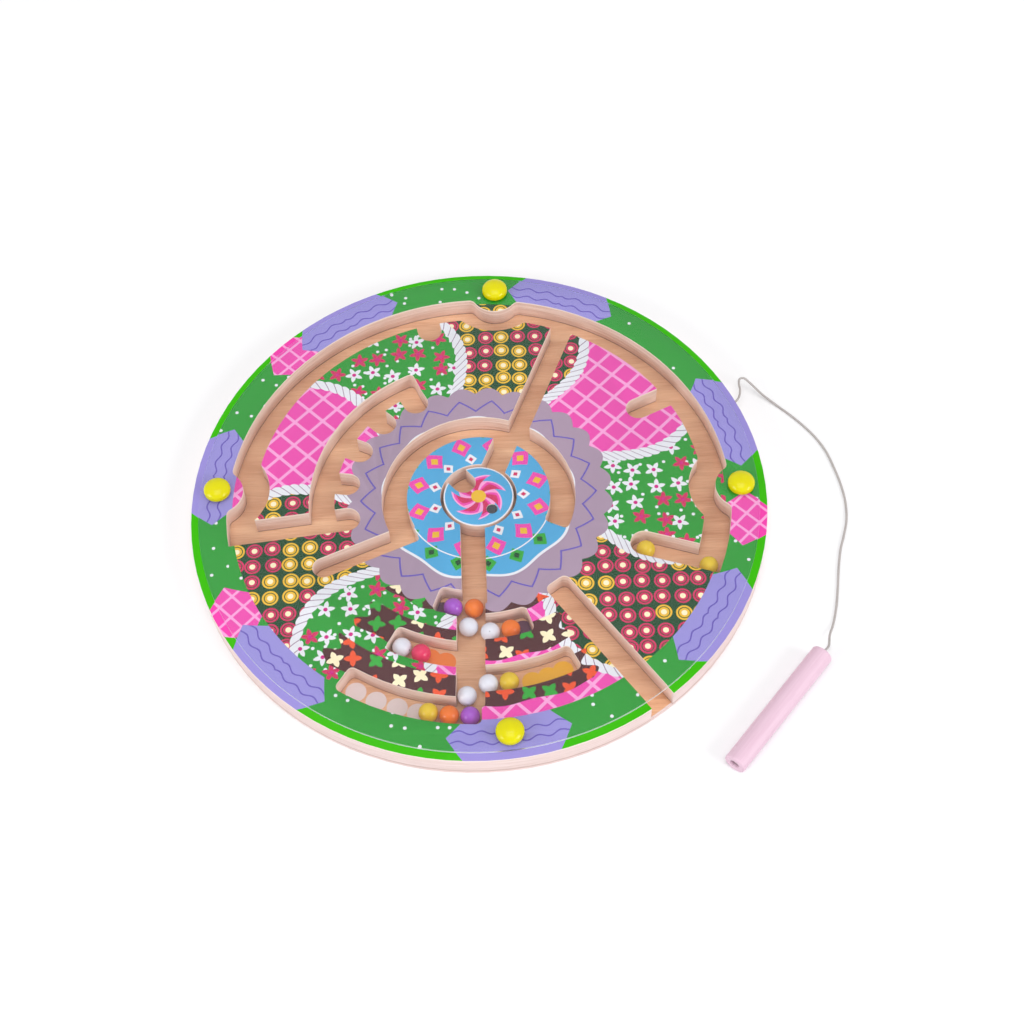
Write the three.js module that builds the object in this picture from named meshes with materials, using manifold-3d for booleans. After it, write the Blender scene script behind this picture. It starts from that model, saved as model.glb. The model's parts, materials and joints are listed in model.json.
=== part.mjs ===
import * as THREE from 'three';
import { mergeVertices } from 'three/addons/utils/BufferGeometryUtils.js';
import Module from 'manifold-3d';

// Magnetic bead maze. A round plywood board carries routed channels under a clear cover, a
// turntable sits in its middle, loose beads lie in the channels, and a magnetic wand hangs on a
// cord from the rim. Millimetres, +Z up. The origin is the centre of the underside.

// Driving dimensions of the board
const BOARD_R = 150;
const BACKING_T = 2.5;
const MAZE_T = 11.5;
const COVER_T = 2;
const COVER_RIM = 4;
const FIT_GAP = 0.3;
const OVERRUN = 1;

// Channels that follow the rim
const RIM_WALL = 18.4;
const ARC_W = 14;
const ARC_START = -23.9;
const ARC_END = 190.5;
const CORNER_R = 2.5;

// Bosses under the caps, which the rim channel goes round
const CAP_INSET = 13;
const CAP_ANGLES = [-0.3, 84.6, 176, 274.8];
const BOSS_R = 13.2;
const BOSS_FILLET = 4;
const BEND_FILLET = 2.5;
const BOSSES_IN_CHANNEL = 3;

// Comb channel on the left, with a row of round pockets on its inner side
const COMB_OUTER_SHARE = 0.5913;
const COMB_W = 13.4;
const COMB_START = 112.6;
const COMB_END = 186;
const POCKET_W = 13.4;
const POCKET_DEPTH = 12.5;
const POCKET_FIRST = 117.7;
const POCKET_PITCH = 17.75;
const POCKET_COUNT = 4;

// Ring channel round the turntable
const RING_INNER_SHARE = 0.2493;
const RING_W = 13.2;
const RING_START = -26.5;
const RING_END = 209;

// Rows at the front: each turns off the spine, to the left or to the right, and ends at its own
// angle. Its other end lies past the spine's middle by a length of its own.
const ROW_W = 14.6;
const ROW_CORNER_R = 3;
const ROWS = {
  ROW_1_LEFT: { innerShare: 0.3793, endAngle: 249, past: 2 },
  ROW_1_RIGHT: { innerShare: 0.468, endAngle: 288, past: 2 },
  ROW_2_LEFT: { innerShare: 0.5727, endAngle: 240.7, past: 2 },
  ROW_2_RIGHT: { innerShare: 0.66, endAngle: 295.2, past: 2 },
  ROW_3_LEFT: { innerShare: 0.776, endAngle: 235.7, past: 5.5 },
};

// Straight channels. Each runs between two spots, given as a share of the board's radius and an
// angle, and has its own width.
const BRANCH_W = 14.4;
const BASE_W = 14;
const STUB_W = 11.8;
const SPOKE_W = 12.3;
const GATE_W = 13.6;
const NOOK_W = 13.2;
const SPINE_TOP_W = 12.7;
const SPINE_W = 14.4;
const SMALL_CORNER_R = 2;
const BRANCH = {
  fromShare: 0.554, fromAngle: -21.7, toShare: 0.9, toAngle: -20.5, width: BRANCH_W, round: true,
};
const SPINE = { fromShare: 0.3883, fromAngle: 264.78, toShare: 0.8147, toAngle: 266.6, width: SPINE_W };
const STRAIGHT_CHANNELS = [
  BRANCH,
  SPINE,
  { fromShare: 0.4167, fromAngle: 189.3, toShare: 0.917, toAngle: 187.5, width: BASE_W, round: true },
  { fromShare: 0.6333, fromAngle: 205.9, toShare: 0.257, toAngle: 211.1, width: STUB_W, round: true },
  { fromShare: 0.2933, fromAngle: 62.1, toShare: 0.8327, toAngle: 65.65, width: SPOKE_W },
  { fromShare: 0.1043, fromAngle: 63.4, toShare: 0.286, toAngle: 66.07, width: GATE_W },
  { fromShare: 0.7113, fromAngle: 102.3, toShare: 0.8247, toAngle: 102.3, width: NOOK_W, round: true },
  { fromShare: 0.6333, fromAngle: 31, toShare: 0.836, toAngle: 29.53, width: NOOK_W, round: true },
  { fromShare: 0.0965, fromAngle: 255.4, toShare: 0.434, toAngle: 266.8, width: SPINE_TOP_W },
];

// Turntable, its pivot and the steel slug that the wand pulls
const TURNTABLE_R = 18.3;
const TURNTABLE_GAP = 1.7;
const NOTCH_W = 12.4;
const NOTCH_WALL = 5.3;
const NOTCH_ANGLE = 130;
const PIVOT_R = 2;
const PIVOT_FLANGE_R = 6;
const PIVOT_FLANGE_T = 1.2;
const PIVOT_RISE = 8;
const SLUG_R = 2.7;
const SLUG_L = 6;
const SLUG_CROWN = 0.4;
const SLUG_REACH = 10.6;
const SLUG_ANGLE = -50;

// Screws, their snap bases and the domed caps
const SCREW_R = 1.4;
const SCREW_L = 8;
const SCREW_TIP = 2;
const SCREW_HEAD_R = 3.1;
const SCREW_HEAD_T = 1.8;
const SCREW_SLOT_W = 0.8;
const SCREW_SLOT_D = 0.9;
const BASE_R = 5.4;
const BASE_T = 1;
const BASE_LIP_W = 0.8;
const BASE_LIP_H = 1;
const CAP_R = 7;
const CAP_SKIRT = 1.4;
const CAP_DOME = 3.8;
const CAP_WALL = 1;

// Beads
const BEAD_R = 4.9;
const BEAD_SPACE = 0.5;
const BEAD_LIFT = 0.1;

// Where the beads lie. A train lies in a row, one bead behind the other. Its first bead is a reach
// along the row from the spine's middle, below zero to the left, or a gap away from the row's end.
// A leaning bead lies beside another one, at an angle and a gap from it.
const TRAINS = [
  { row: 'ROW_1_LEFT', reach: -9.25, turn: 1, beads: ['purple_bead_1'] },
  { row: 'ROW_1_RIGHT', reach: 20.25, turn: -1, beads: ['orange_bead_2', 'white_bead_2'] },
  { row: 'ROW_2_LEFT', endGap: 0.6, turn: 1, beads: ['white_bead_3', 'red_bead_1'] },
  { row: 'ROW_2_RIGHT', reach: 19.2, turn: -1, beads: ['yellow_bead_1', 'white_bead_4'] },
  {
    row: 'ROW_3_LEFT',
    reach: -21,
    turn: 1,
    beads: ['yellow_bead_2', 'orange_bead_3', 'purple_bead_2'],
  },
];
const LEANING_BEADS = [
  { name: 'white_bead_1', beside: 'white_bead_2', angle: 162.6, gap: 1.6 },
  { name: 'orange_bead_1', beside: 'white_bead_1', angle: 73.9, gap: 1.25 },
  { name: 'white_bead_5', beside: 'purple_bead_2', angle: 96.7, gap: 1.4 },
];
const BRANCH_BEAD_REACH = 8.2;
const RIM_BEAD_GAP = 1.4;

// Wand, and the slot in the board that stores it
const WAND_R = 5.6;
const WAND_L = 76;
const WAND_EDGE = 0.9;
const WAND_BORE_R = 0.9;
const WAND_BORE_L = 12;
const WAND_BORE_FLARE = 0.3;
const MAGNET_R = 2;
const MAGNET_L = 6;
const MAGNET_INSET = 1.5;
const WAND_SHARE = 1.2907;
const WAND_ANGLE = -29.93;
const WAND_HEADING = 228.87;
const SLOT_PLAY = 2.6;
const SLOT_SHARE = 0.432;
const SLOT_ANGLE = -55;
const SLOT_CORNER_R = 3.5;

// Cord, its hole in the rim and the end that is glued in there
const CORD_R = 0.6;
const CORD_ANGLE = 22.5;
const CORD_HOLE_R = 1.2;
const CORD_HOLE_L = 10;
const CORD_STEPS = 80;
const CORD_SIDES = 8;
const CORD_LIFT = 0.05;

// The cord's straight ends: from the rim, and at two spots behind the wand's end, where it droops to
// a share of the wand's height. Between them it passes the spots below, given as shares of the
// board's radius along X and Y and as a share of the hole's height above the lying cord.
const CORD_STRAIGHT = 2.6;
const WAND_STRAIGHT = 2.4;
const DROOP_STRAIGHT = 5.5;
const DROOP_SHARE = 0.9;
const CORD_SHARES = [
  [0.956, 0.4093, 1.0472], [0.9633, 0.4373, 1.1417], [0.962, 0.4667, 1.189], [0.9667, 0.4867, 1.1732],
  [0.9827, 0.4927, 1.0787], [1.0027, 0.4787, 0.874], [1.0467, 0.4393, 0.3386], [1.094, 0.398, 0.0394],
  [1.1387, 0.352, 0], [1.1813, 0.3007, 0], [1.2193, 0.2447, 0], [1.2467, 0.186, 0],
  [1.2667, 0.1113, 0], [1.2813, 0.0333, 0], [1.286, -0.0453, 0], [1.2787, -0.1107, 0],
  [1.2613, -0.1707, 0], [1.242, -0.2267, 0], [1.2267, -0.292, 0], [1.2133, -0.366, 0],
  [1.196, -0.4507, 0], [1.176, -0.5173, 0.0236], [1.1573, -0.562, 0.2126],
];

// Facets
const BOARD_SIDES = 96;
const ROUND_SIDES = 24;
const SMALL_SIDES = 16;
const ARC_STEP = 4;
const MERGE_GAP = 1e-4;
const HALF_TURN = 180;
const CORNER_STEPS = 4;
const ROUND_STEPS = 8;
const BEAD_DETAIL = 2;

// Finishes
const plywood = new THREE.MeshStandardMaterial({ color: 0xe6c4a0, roughness: 0.7, metalness: 0 });
const printed = new THREE.MeshStandardMaterial({ color: 0x3fa04e, roughness: 0.45, metalness: 0 });
const pond = new THREE.MeshStandardMaterial({ color: 0x5ab4e4, roughness: 0.45, metalness: 0 });
const acrylic = new THREE.MeshStandardMaterial({
  color: 0xf4fbff, roughness: 0.05, metalness: 0, transparent: true, opacity: 0.2,
});
const yellowPlastic = new THREE.MeshStandardMaterial({ color: 0xf2ee18, roughness: 0.35, metalness: 0 });
const steel = new THREE.MeshStandardMaterial({ color: 0x8a8d92, roughness: 0.35, metalness: 1 });
const pinkPaint = new THREE.MeshStandardMaterial({ color: 0xf0cbdc, roughness: 0.5, metalness: 0 });
const cordFibre = new THREE.MeshStandardMaterial({ color: 0xe9e6e4, roughness: 0.8, metalness: 0 });
const BEAD_COLOURS = {
  purple: 0x9450bd, orange: 0xef7420, white: 0xf2f0f2, red: 0xe64a68, yellow: 0xf0cb35,
};

const wasm = await Module();
wasm.setup();

const radians = (angle) => THREE.MathUtils.degToRad(angle);
const degrees = (turn) => THREE.MathUtils.radToDeg(turn);
const polar = (radius, angle) => new THREE.Vector2(
  radius * Math.cos(radians(angle)), radius * Math.sin(radians(angle)));

// A closed geometry as a solid that can be joined and cut
function solidOf(geometry) {
  const bare = geometry.index ? geometry.toNonIndexed() : geometry.clone();
  bare.deleteAttribute('normal');
  bare.deleteAttribute('uv');
  const merged = mergeVertices(bare, MERGE_GAP);
  return new wasm.Manifold(new wasm.Mesh({
    numProp: 3,
    vertProperties: new Float32Array(merged.attributes.position.array),
    triVerts: new Uint32Array(merged.index.array),
  }));
}

function geometryOf(solid) {
  const mesh = solid.getMesh();
  const geometry = new THREE.BufferGeometry();
  const positions = new Float32Array(mesh.numVert * 3);
  for (let i = 0; i < mesh.numVert; i += 1) {
    for (let k = 0; k < 3; k += 1) positions[3 * i + k] = mesh.vertProperties[mesh.numProp * i + k];
  }
  geometry.setAttribute('position', new THREE.BufferAttribute(positions, 3));
  geometry.setIndex(new THREE.BufferAttribute(new Uint32Array(mesh.triVerts), 1));
  geometry.computeVertexNormals();
  return geometry;
}

// A flat outline, drawn counter-clockwise, raised from one height to another
function prism(points, bottom, top) {
  const geometry = new THREE.ExtrudeGeometry(new THREE.Shape(points), {
    depth: top - bottom, bevelEnabled: false, steps: 1,
  });
  geometry.translate(0, 0, bottom);
  return geometry;
}

function circle(radius, sides, centre = new THREE.Vector2()) {
  return Array.from({ length: sides }, (_, i) => polar(radius, 360 * i / sides).add(centre));
}

// The quarter turns of a rounded rectangle's corners, from a heading of -90 degrees onwards
function corner(x, y, radius, startAngle, steps) {
  return Array.from({ length: steps + 1 }, (_, i) => (
    polar(radius, startAngle + 90 * i / steps).add(new THREE.Vector2(x, y))));
}

// A straight run along +X from an end wall at zero, whose two ends have their own corner radii
function runOutline(length, width, startRound, endRound) {
  const half = width / 2;
  const steps = (round) => (round === half ? ROUND_STEPS : CORNER_STEPS);
  const points = [
    ...corner(length - endRound, endRound - half, endRound, -90, steps(endRound)),
    ...corner(length - endRound, half - endRound, endRound, 0, steps(endRound)),
    ...corner(startRound, half - startRound, startRound, 90, steps(startRound)),
    ...corner(startRound, startRound - half, startRound, 180, steps(startRound)),
  ];
  return points.filter((p, i) => p.distanceTo(points[(i + 1) % points.length]) > MERGE_GAP);
}

// The same run laid between two spots on the board
function straightRun(from, to, width, startRound, endRound) {
  const heading = Math.atan2(to.y - from.y, to.x - from.x);
  return runOutline(from.distanceTo(to), width, startRound, endRound)
    .map((p) => p.rotateAround(new THREE.Vector2(), heading).add(from));
}

// The same run bent round the board's centre, counter-clockwise between two angles
function bentRun(inner, width, from, to, startRound, endRound) {
  const middle = inner + width / 2;
  const outline = runOutline(middle * radians(to - from), width, startRound, endRound);
  const longest = middle * radians(ARC_STEP);
  const points = outline.flatMap((p, i) => {
    const next = outline[(i + 1) % outline.length];
    const parts = Math.ceil(p.distanceTo(next) / longest);
    return Array.from({ length: parts }, (_, k) => p.clone().lerp(next, k / parts));
  });
  return points.map((p) => polar(middle - p.y, from + degrees(p.x / middle)));
}

// A round boss about a cap that grows out of a ring's wall, with a fillet at each root. The fillet's
// centre lies one fillet inside the ring and one fillet outside the boss.
function bossOutline(ringRadius, bossRadius, fillet, capAngle) {
  const reach = BOARD_R - CAP_INSET;
  const fromMiddle = ringRadius - fillet;
  const fromCap = bossRadius + fillet;
  const side = degrees(Math.acos(
    (reach ** 2 + fromMiddle ** 2 - fromCap ** 2) / (2 * reach * fromMiddle)));
  const centre = polar(fromMiddle, side);
  const towardCap = degrees(Math.atan2(-centre.y, reach - centre.x));
  const half = [polar(reach, side)];
  for (let i = 0; i <= CORNER_STEPS; i += 1) {
    const angle = side + (towardCap - side) * i / CORNER_STEPS;
    half.push(polar(fillet, angle).add(centre));
  }
  const wallStart = towardCap + HALF_TURN;
  for (let i = 1; i <= ROUND_STEPS; i += 1) {
    const angle = wallStart + (HALF_TURN - wallStart) * i / ROUND_STEPS;
    half.push(polar(bossRadius, angle).add(new THREE.Vector2(reach, 0)));
  }
  const mirrored = half.slice(0, -1).reverse().map((p) => new THREE.Vector2(p.x, -p.y));
  return [...half, ...mirrored].map((p) => p.rotateAround(new THREE.Vector2(), radians(capAngle)));
}

const mazeTop = BACKING_T + MAZE_T;
const coverTop = mazeTop + COVER_T;
const outerWall = BOARD_R - RIM_WALL;
const capSpots = CAP_ANGLES.map((angle) => polar(BOARD_R - CAP_INSET, angle));
const cutFrom = BACKING_T - OVERRUN;
const cutTo = mazeTop + OVERRUN;
const cutter = (points) => solidOf(prism(points, cutFrom, cutTo));
const rod = (radius, bottom, top, spot, sides = SMALL_SIDES) => (
  solidOf(prism(circle(radius, sides, spot), bottom, top)));

// The spine's angle at a radius, and a row's angle at a reach from the spine along the row's middle
const spineAngle = (radius) => {
  const along = (radius / BOARD_R - SPINE.fromShare) / (SPINE.toShare - SPINE.fromShare);
  return SPINE.fromAngle + along * (SPINE.toAngle - SPINE.fromAngle);
};
const rowMiddle = (row) => row.innerShare * BOARD_R + ROW_W / 2;
const rowAngle = (row, reach) => spineAngle(rowMiddle(row)) + degrees(reach / rowMiddle(row));

// Everything that the router takes out of the maze layer
function channels() {
  const field = cutter(circle(outerWall, BOARD_SIDES));
  let cut = cutter(bentRun(outerWall - ARC_W, ARC_W, ARC_START, ARC_END, CORNER_R, CORNER_R));
  for (const c of STRAIGHT_CHANNELS) {
    const startRound = c.round ? c.width / 2 : SMALL_CORNER_R;
    const from = polar(c.fromShare * BOARD_R, c.fromAngle);
    const to = polar(c.toShare * BOARD_R, c.toAngle);
    cut = cut.add(cutter(straightRun(from, to, c.width, startRound, SMALL_CORNER_R)));
  }
  const rounded = CAP_ANGLES.slice(0, BOSSES_IN_CHANNEL);
  for (const angle of rounded) {
    cut = cut.add(cutter(bossOutline(outerWall - ARC_W, BOSS_R + ARC_W, BEND_FILLET, angle)));
  }
  cut = cut.intersect(field);
  for (const angle of rounded) {
    cut = cut.subtract(cutter(bossOutline(outerWall, BOSS_R, BOSS_FILLET, angle)));
  }

  const combOuter = COMB_OUTER_SHARE * BOARD_R;
  const combInner = combOuter - COMB_W;
  cut = cut.add(cutter(bentRun(combInner, COMB_W, COMB_START, COMB_END, CORNER_R, CORNER_R)));
  for (let i = 0; i < POCKET_COUNT; i += 1) {
    const angle = POCKET_FIRST + POCKET_PITCH * i;
    const from = polar(combInner - POCKET_DEPTH, angle);
    const to = polar(combInner + COMB_W / 2, angle);
    cut = cut.add(cutter(straightRun(from, to, POCKET_W, POCKET_W / 2, SMALL_CORNER_R)));
  }
  const ringInner = RING_INNER_SHARE * BOARD_R;
  cut = cut.add(cutter(bentRun(ringInner, RING_W, RING_START, RING_END, CORNER_R, CORNER_R)));
  for (const row of Object.values(ROWS)) {
    const left = row.endAngle < spineAngle(rowMiddle(row));
    const inside = rowAngle(row, left ? row.past : -row.past);
    const [from, to] = left ? [row.endAngle, inside] : [inside, row.endAngle];
    const inner = rowMiddle(row) - ROW_W / 2;
    cut = cut.add(cutter(bentRun(inner, ROW_W, from, to, ROW_CORNER_R, ROW_CORNER_R)));
  }
  cut = cut.add(cutter(circle(TURNTABLE_R + TURNTABLE_GAP, BOARD_SIDES / 2)));

  const slotFrom = polar(SLOT_SHARE * BOARD_R, SLOT_ANGLE);
  const slotTo = polar(BOARD_R + OVERRUN + SMALL_CORNER_R, SLOT_ANGLE);
  const slotWidth = 2 * WAND_R + SLOT_PLAY;
  return cut.add(cutter(straightRun(slotFrom, slotTo, slotWidth, SLOT_CORNER_R, SMALL_CORNER_R)));
}

// The small hole in the rim that takes the cord, at half the board's height
const cordHeight = mazeTop / 2;
function cordHole() {
  const length = CORD_HOLE_L + OVERRUN;
  const geometry = new THREE.CylinderGeometry(CORD_HOLE_R, CORD_HOLE_R, length, SMALL_SIDES);
  geometry.rotateZ(-Math.PI / 2);
  geometry.translate(BOARD_R - CORD_HOLE_L + length / 2, 0, cordHeight);
  geometry.rotateZ(radians(CORD_ANGLE));
  return solidOf(geometry);
}

function mazeBoard() {
  let board = solidOf(prism(circle(BOARD_R, BOARD_SIDES), BACKING_T, mazeTop));
  board = board.subtract(channels()).subtract(cordHole());
  const pilotDepth = SCREW_L - COVER_T - BASE_T + FIT_GAP;
  for (const spot of capSpots) {
    board = board.subtract(rod(SCREW_R + FIT_GAP, mazeTop - pilotDepth, cutTo, spot));
  }
  return geometryOf(board);
}

// The backing closes the channels from below; the pivot's flange is let into it
function backingBoard() {
  const board = solidOf(prism(circle(BOARD_R, BOARD_SIDES), 0, BACKING_T));
  const seat = rod(PIVOT_FLANGE_R + FIT_GAP, BACKING_T - PIVOT_FLANGE_T, cutTo, undefined, ROUND_SIDES);
  return geometryOf(board.subtract(seat));
}

function clearCover() {
  let cover = solidOf(prism(circle(BOARD_R - COVER_RIM, BOARD_SIDES), mazeTop, coverTop));
  for (const spot of capSpots) {
    cover = cover.subtract(rod(SCREW_R + FIT_GAP, mazeTop - OVERRUN, coverTop + OVERRUN, spot));
  }
  return geometryOf(cover);
}

// A turned shape from a profile of [radius, height] pairs that starts and ends on the axis
function turned(profile, sides) {
  const points = profile.map(([x, y]) => new THREE.Vector2(x, y));
  const geometry = new THREE.LatheGeometry(points, sides);
  geometry.rotateX(Math.PI / 2);
  return geometryOf(solidOf(geometry));
}

// The quarter of an ellipse from its widest point up to the axis, as [radius, height] pairs
function dome(radius, start, rise, steps) {
  return Array.from({ length: steps + 1 }, (_, i) => {
    const turn = Math.PI / 2 * i / steps;
    return [i === steps ? 0 : radius * Math.cos(turn), start + rise * Math.sin(turn)];
  });
}

const turntableBottom = BACKING_T + FIT_GAP;
const turntableTop = mazeTop - FIT_GAP;
const slugSpot = polar(SLUG_REACH, SLUG_ANGLE);
const slugSeat = turntableTop - SLUG_L;

function turntable() {
  let disc = solidOf(prism(circle(TURNTABLE_R, BOARD_SIDES / 2), turntableBottom, turntableTop));
  const notchFrom = polar(NOTCH_WALL, NOTCH_ANGLE);
  const notchTo = polar(TURNTABLE_R + OVERRUN + SMALL_CORNER_R, NOTCH_ANGLE);
  disc = disc.subtract(cutter(straightRun(notchFrom, notchTo, NOTCH_W, NOTCH_W / 2, SMALL_CORNER_R)));
  const boreTop = BACKING_T + PIVOT_RISE + FIT_GAP;
  disc = disc.subtract(rod(PIVOT_R + FIT_GAP, cutFrom, boreTop));
  return geometryOf(disc.subtract(rod(SLUG_R + FIT_GAP, slugSeat, cutTo, slugSpot)));
}

function turntablePivot() {
  return turned([
    [0, 0],
    [PIVOT_FLANGE_R, 0],
    [PIVOT_FLANGE_R, PIVOT_FLANGE_T],
    [PIVOT_R, PIVOT_FLANGE_T],
    [PIVOT_R, PIVOT_FLANGE_T + PIVOT_RISE],
    [0, PIVOT_FLANGE_T + PIVOT_RISE],
  ], ROUND_SIDES);
}

function turntableSlug() {
  const side = SLUG_L - SLUG_CROWN;
  return turned([[0, 0], [SLUG_R, 0], ...dome(SLUG_R, side, SLUG_CROWN, CORNER_STEPS)], SMALL_SIDES);
}

// A pan-head screw with a slot, standing on its tip; the head's underside is at SCREW_L
function coverScrew() {
  const screw = solidOf(turned([
    [0, 0],
    [SCREW_R, SCREW_TIP],
    [SCREW_R, SCREW_L],
    [SCREW_HEAD_R, SCREW_L],
    ...dome(SCREW_HEAD_R, SCREW_L + SCREW_HEAD_T / 2, SCREW_HEAD_T / 2, CORNER_STEPS),
  ], SMALL_SIDES));
  const slot = new THREE.BoxGeometry(2 * SCREW_HEAD_R + OVERRUN, SCREW_SLOT_W, 2 * SCREW_SLOT_D);
  slot.translate(0, 0, SCREW_L + SCREW_HEAD_T);
  return geometryOf(screw.subtract(solidOf(slot)));
}

// The cup under the screw's head, whose lip the cap snaps over
function capBase() {
  const lip = BASE_R - BASE_LIP_W;
  const bore = SCREW_R + FIT_GAP;
  const profile = [
    [bore, 0], [BASE_R, 0], [BASE_R, BASE_T + BASE_LIP_H], [lip, BASE_T + BASE_LIP_H],
    [lip, BASE_T], [bore, BASE_T], [bore, 0],
  ];
  return turned(profile, ROUND_SIDES);
}

function screwCap() {
  const inner = CAP_R - CAP_WALL;
  const ceiling = dome(inner, CAP_SKIRT, CAP_DOME - CAP_WALL, CORNER_STEPS + 1).reverse();
  return turned([
    ...ceiling,
    [inner, 0],
    [CAP_R, 0],
    ...dome(CAP_R, CAP_SKIRT, CAP_DOME, CORNER_STEPS + 1),
  ], ROUND_SIDES);
}

// The wand stands on its magnet end here, and is laid down where it is placed
function wandBody() {
  const magnetBore = MAGNET_R + FIT_GAP;
  const boreTop = WAND_L - WAND_BORE_L;
  return turned([
    [0, MAGNET_INSET + MAGNET_L],
    [magnetBore, MAGNET_INSET + MAGNET_L],
    [magnetBore, 0],
    [WAND_R - WAND_EDGE, 0],
    [WAND_R, WAND_EDGE],
    [WAND_R, WAND_L - WAND_EDGE],
    [WAND_R - WAND_EDGE, WAND_L],
    [WAND_BORE_R + WAND_BORE_FLARE, WAND_L],
    [WAND_BORE_R, WAND_L - WAND_BORE_FLARE],
    [WAND_BORE_R, boreTop],
    [0, boreTop],
  ], ROUND_SIDES);
}

function bead() {
  return geometryOf(solidOf(new THREE.IcosahedronGeometry(BEAD_R, BEAD_DETAIL)));
}

// A cord of round section along a smooth curve through the points
function cordAlong(points, steps) {
  const section = new THREE.Shape(circle(CORD_R, CORD_SIDES));
  const extrudePath = new THREE.CatmullRomCurve3(points, false, 'centripetal');
  return geometryOf(solidOf(new THREE.ExtrudeGeometry(section, { steps, extrudePath })));
}

const game = new THREE.Group();
function place(name, geometry, material, parent = game) {
  const mesh = new THREE.Mesh(geometry, material);
  mesh.name = name;
  parent.add(mesh);
  return mesh;
}

place('backing_board', backingBoard(), plywood);
place('maze_board', mazeBoard(), printed);
place('clear_cover', clearCover(), acrylic);

capSpots.forEach((spot, i) => {
  const fixing = new THREE.Group();
  fixing.position.set(spot.x, spot.y, coverTop);
  game.add(fixing);
  const screw = place(`cover_screw_${i + 1}`, coverScrew(), steel, fixing);
  screw.position.z = BASE_T - SCREW_L;
  place(`cap_base_${i + 1}`, capBase(), yellowPlastic, fixing);
  place(`screw_cap_${i + 1}`, screwCap(), yellowPlastic, fixing);
});

place('turntable', turntable(), pond);
place('turntable_pivot', turntablePivot(), yellowPlastic).position.z = BACKING_T - PIVOT_FLANGE_T;
place('turntable_slug', turntableSlug(), steel).position.set(slugSpot.x, slugSpot.y, slugSeat);

// Beads
const beadHeight = BACKING_T + BEAD_R + BEAD_LIFT;
function placeBead(name, spot) {
  const colour = BEAD_COLOURS[name.split('_')[0]];
  const finish = new THREE.MeshStandardMaterial({ color: colour, roughness: 0.25, metalness: 0 });
  place(name, bead(), finish).position.set(spot.x, spot.y, beadHeight);
}
TRAINS.forEach(({ row, reach, endGap, turn, beads }) => {
  const radius = rowMiddle(ROWS[row]);
  const first = reach === undefined
    ? ROWS[row].endAngle + turn * degrees((BEAD_R + endGap) / radius)
    : rowAngle(ROWS[row], reach);
  const pitch = 2 * degrees(Math.asin((BEAD_R + BEAD_SPACE / 2) / radius));
  beads.forEach((name, i) => placeBead(name, polar(radius, first + turn * pitch * i)));
});
LEANING_BEADS.forEach(({ name, beside, angle, gap }) => {
  const { x, y } = game.getObjectByName(beside).position;
  placeBead(name, polar(2 * BEAD_R + gap, angle).add(new THREE.Vector2(x, y)));
});
const branchFrom = polar(BRANCH.fromShare * BOARD_R, BRANCH.fromAngle);
const branchTo = polar(BRANCH.toShare * BOARD_R, BRANCH.toAngle);
const branchWay = branchTo.clone().sub(branchFrom).setLength(BRANCH_BEAD_REACH);
placeBead('yellow_bead_3', branchFrom.clone().add(branchWay));
const rimMiddle = outerWall - ARC_W / 2;
const rimBeadAngle = ARC_START + degrees((BEAD_R + RIM_BEAD_GAP) / rimMiddle);
placeBead('yellow_bead_4', polar(rimMiddle, rimBeadAngle));

// The wand lies on the table beside the board, its cord end at the named spot
const wandEnd = polar(WAND_SHARE * BOARD_R, WAND_ANGLE);
const wandGroup = new THREE.Group();
wandGroup.position.set(wandEnd.x, wandEnd.y, WAND_R);
wandGroup.rotation.set(0, 0, radians(WAND_HEADING));
game.add(wandGroup);
const laid = new THREE.Group();
laid.rotation.y = -Math.PI / 2;
laid.position.x = WAND_L;
wandGroup.add(laid);
place('wand', wandBody(), pinkPaint, laid);
const magnet = turned([[0, 0], [MAGNET_R, 0], [MAGNET_R, MAGNET_L], [0, MAGNET_L]], SMALL_SIDES);
place('wand_magnet', magnet, steel, laid).position.z = MAGNET_INSET;

// The cord leaves the rim, bends over itself once, and lies on the table in one loose curve
const out = polar(1, CORD_ANGLE);
const alongOut = (reach) => new THREE.Vector3(reach * out.x, reach * out.y, cordHeight);
const back = polar(1, WAND_HEADING + HALF_TURN);
const behindWand = (reach, height) => new THREE.Vector3(
  wandEnd.x + reach * back.x, wandEnd.y + reach * back.y, height);
const lying = CORD_R + CORD_LIFT;
const cordPoints = [
  alongOut(BOARD_R + FIT_GAP),
  alongOut(BOARD_R + CORD_STRAIGHT),
  ...CORD_SHARES.map(([x, y, rise]) => new THREE.Vector3(
    x * BOARD_R, y * BOARD_R, lying + rise * (cordHeight - lying))),
  behindWand(DROOP_STRAIGHT, DROOP_SHARE * WAND_R),
  behindWand(WAND_STRAIGHT, WAND_R),
  behindWand(FIT_GAP, WAND_R),
];
place('cord', cordAlong(cordPoints, CORD_STEPS), cordFibre);
const glued = [alongOut(BOARD_R - CORD_HOLE_L + FIT_GAP), alongOut(BOARD_R)];
place('cord_end', cordAlong(glued, 1), cordFibre);

export default game;
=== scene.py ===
import json
import math

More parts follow.
